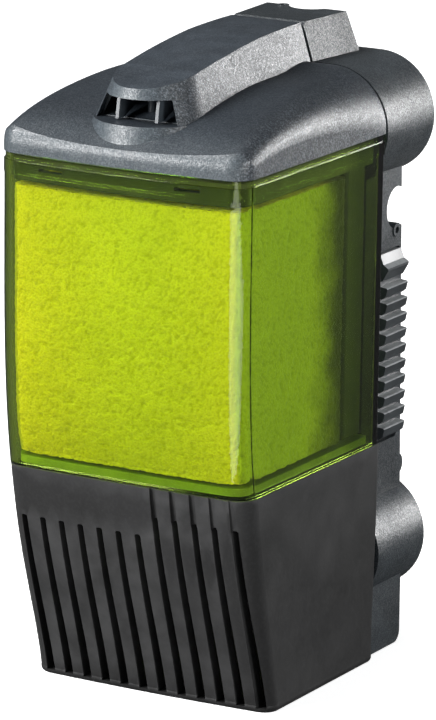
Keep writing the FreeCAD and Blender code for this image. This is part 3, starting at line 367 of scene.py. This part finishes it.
# ----------------------------------------------------------------- foam block
def foam_block():
    """The cut block of open-cell foam: the cartridge's solid drawn in a
    little and crowned between its corners, then pitted cell by cell."""
    src = nodes["foam_cartridge"]
    me = src.data.copy()
    me.transform(src.matrix_world)
    me.materials.clear()
    o = bpy.data.objects.new("foam_block", me)
    scene.collection.objects.link(o)
    rm = o.modifiers.new("even", "REMESH")
    rm.mode = "VOXEL"
    rm.voxel_size = 0.00062
    sm = o.modifiers.new("corners", "SMOOTH")
    sm.factor = 0.5
    sm.iterations = 5
    bpy.context.view_layer.update()
    dg = bpy.context.evaluated_depsgraph_get()
    new = bpy.data.meshes.new_from_object(o.evaluated_get(dg))
    o.modifiers.clear()
    o.data = new
    bpy.data.meshes.remove(me)
    lo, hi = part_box("foam_cartridge")
    lo, hi = Vector(lo), Vector(hi)
    mid, half = (lo + hi) / 2, (hi - lo) / 2
    n = len(new.vertices)
    pos = [v.co.copy() for v in new.vertices]
    nrm = [v.normal.copy() for v in new.vertices]
    pore = [0.0] * n
    painted_shade = [1.0] * (4 * n)
    for k in range(n):
        p, q = pos[k], nrm[k]
        u = [(p[i] - mid[i]) / half[i] for i in range(3)]
        # crown: flush in the middle of a face, drawn in towards its edges
        f = [abs(u[i]) ** 6 for i in range(3)]
        ax = max(range(3), key=lambda i: abs(q[i]))
        edge = max(f[i] for i in range(3) if i != ax)
        wob = noise.noise(p * 55.0) * 0.00025
        d = noise.voronoi(p * 820.0)[0]
        strut = min(1.0, (d[1] - d[0]) * 2.2)
        cell = strut
        d2 = noise.voronoi(p * 430.0 + Vector((3.1, 1.7, 5.3)))[0]
        big = min(1.0, (d2[1] - d2[0]) * 1.6)
        depth = 0.00034 * cell + 0.00014 * big
        pore[k] = 1.0 - min(1.0, 0.75 * cell + 0.45 * big * cell)
        # painted shade written into the tint colour: greener to the right and on the right side face, darker on the
        # left side face, near black towards the rear
        across = max(0.0, min(1.0, 0.5 + 0.5 * u[0]))
        across = across * across * (3 - 2 * across)
        side = max(0.0, min(1.0, (q.x - 0.3) / 0.4))
        toward_rear = max(0.0, min(1.0, (p.y + 0.012 + 0.004 * noise.noise(p * 160.0)) / 0.017))
        rear_shade = 1.0 - 0.96 * toward_rear * toward_rear * (3 - 2 * toward_rear)
        r = (1.03 - 0.10 * across - 0.36 * across * (1 - across)) * (1 - side) + 0.62 * side
        g = (0.86 - 0.01 * across) * (1 - side) + 0.76 * side
        if q.x < -0.3:
            r, g = r * 0.55, g * 0.6
        painted_shade[4 * k:4 * k + 3] = [r * rear_shade, g * rear_shade, rear_shade]
        p = p - Vector((0, 0, 0.0005)) * max(0.0, -u[2]) ** 4
        new.vertices[k].co = p - q * (0.00012 + 0.0007 * edge + max(0.0, wob) + depth)
    at = new.attributes.new("pore", "FLOAT", "POINT")
    at.data.foreach_set("value", pore)
    at = new.attributes.new("painted_shade", "FLOAT_COLOR", "POINT")
    at.data.foreach_set("color", painted_shade)
    for f in new.polygons:
        f.use_smooth = True
    new.materials.append(foam_m.m)
    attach(o, src["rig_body"])
    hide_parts("foam_cartridge")
    return o


foam_o = foam_block()


# ---------------------------------------------------------------------- stage
def plane(name, size, z):
    me = bpy.data.meshes.new(name)
    bm = bmesh.new()
    bmesh.ops.create_grid(bm, x_segments=8, y_segments=8, size=size)
    bm.to_mesh(me)
    bm.free()
    o = bpy.data.objects.new(name, me)
    o.location.z = z
    scene.collection.objects.link(o)
    return o


floor = plane("floor", 6.0, 0.0)
fm = Mat("pale_floor", rough=0.75, spec=0.2)
fn = fm.noise(3.0, 3.0)
fm.put("Base Color", fm.mix(fn, (0.86, 0.86, 0.86), (0.90, 0.90, 0.90)))
# seen directly it is a lit pale sweep; what it throws back is held down
fm.b.inputs["Emission Color"].default_value = (1.0, 1.0, 1.0, 1.0)
fm.b.inputs["Emission Strength"].default_value = 0.62
dim = fm.nt.nodes.new("ShaderNodeBsdfDiffuse")
dim.inputs[0].default_value = (0.09, 0.09, 0.09, 1.0)
flp = fm.nt.nodes.new("ShaderNodeLightPath")
fmx = fm.nt.nodes.new("ShaderNodeMixShader")
fm.link(flp.outputs["Is Camera Ray"], fmx.inputs[0])
fm.link(dim.outputs[0], fmx.inputs[1])
fm.link(fm.b.outputs[0], fmx.inputs[2])
fm.link(fmx.outputs[0], fm.out.inputs[0])
floor.data.materials.append(fm.m)

# a studio tent: bright overhead, dim towards the horizon
world = bpy.data.worlds.new("studio")
scene.world = world
world.use_nodes = True
wt = world.node_tree
bg = wt.nodes["Background"]
wc = wt.nodes.new("ShaderNodeTexCoord")
ws = wt.nodes.new("ShaderNodeSeparateXYZ")
wt.links.new(wc.outputs["Generated"], ws.inputs[0])
wr = wt.nodes.new("ShaderNodeValToRGB")
wr.color_ramp.interpolation = "EASE"
SKY = ((0.0, 0.05), (0.35, 0.08), (0.75, 0.20), (1.0, 0.7))
while len(wr.color_ramp.elements) < len(SKY):
    wr.color_ramp.elements.new(0.5)
for e, (p, c) in zip(wr.color_ramp.elements, SKY):
    e.position = p
    e.color = (c * 0.97, c * 0.985, c, 1.0)
wt.links.new(ws.outputs["Z"], wr.inputs[0])
wt.links.new(wr.outputs[0], bg.inputs[0])
bg.inputs[1].default_value = 1.0


def lamp(name, loc, size, power, target=(0, 0, 0.075), sy=None, colour=(1, 1, 1)):
    d = bpy.data.lights.new(name, "AREA")
    d.shape = "RECTANGLE"
    d.size = size
    d.size_y = sy or size
    d.energy = power
    d.color = colour
    o = bpy.data.objects.new(name, d)
    scene.collection.objects.link(o)
    o.location = loc
    v = Vector(target) - Vector(loc)
    o.rotation_mode = "QUATERNION"
    o.rotation_quaternion = v.to_track_quat("-Z", "Y")
    return o


lamp("front_left", (-0.68, -1.06, 0.50), 0.50, 24.0)
lamp("overhead_left", (-0.66, -0.36, 1.05), 0.45, 15.0)
lamp("back_right", (0.58, 1.02, 0.24), 0.34, 8.6, sy=0.42)
lamp("right_side", (1.15, -0.25, 0.35), 0.40, 7.0)

lamp("low_card", (0.22, -0.33, 0.004), 0.40, 1.3, target=(0.22, -0.33, 1.0))

# --------------------------------------------------------------------- camera
cam_d = bpy.data.cameras.new("camera")
cam = bpy.data.objects.new("camera", cam_d)
scene.collection.objects.link(cam)
scene.camera = cam
CAM = dict(az=29.7017, el=14.0253, roll=0.8354, f=4979.80, dist=1.094058, tx=0.0081579, ty=0.030 - FY, tz=0.0743847)
a, e, r = (math.radians(CAM[k]) for k in ("az", "el", "roll"))
back = Vector((math.sin(a) * math.cos(e), -math.cos(a) * math.cos(e), math.sin(e)))
right = (-back).cross(Vector((0, 0, 1))).normalized()
up = right.cross(-back)
rx = right * math.cos(r) + up * math.sin(r)
ux = -right * math.sin(r) + up * math.cos(r)
target = Vector((CAM["tx"], CAM["ty"], CAM["tz"]))
rot = Matrix((rx, ux, back)).transposed()
cam.matrix_world = Matrix.Translation(target + back * CAM["dist"]) @ rot.to_4x4()
cam_d.sensor_width = 36.0
cam_d.sensor_fit = "AUTO"
cam_d.lens = CAM["f"] / 720.0 * 36.0
cam_d.clip_start = 0.05
cam_d.clip_end = 50.0

# ------------------------------------------------------------------- update
bpy.context.view_layer.update()
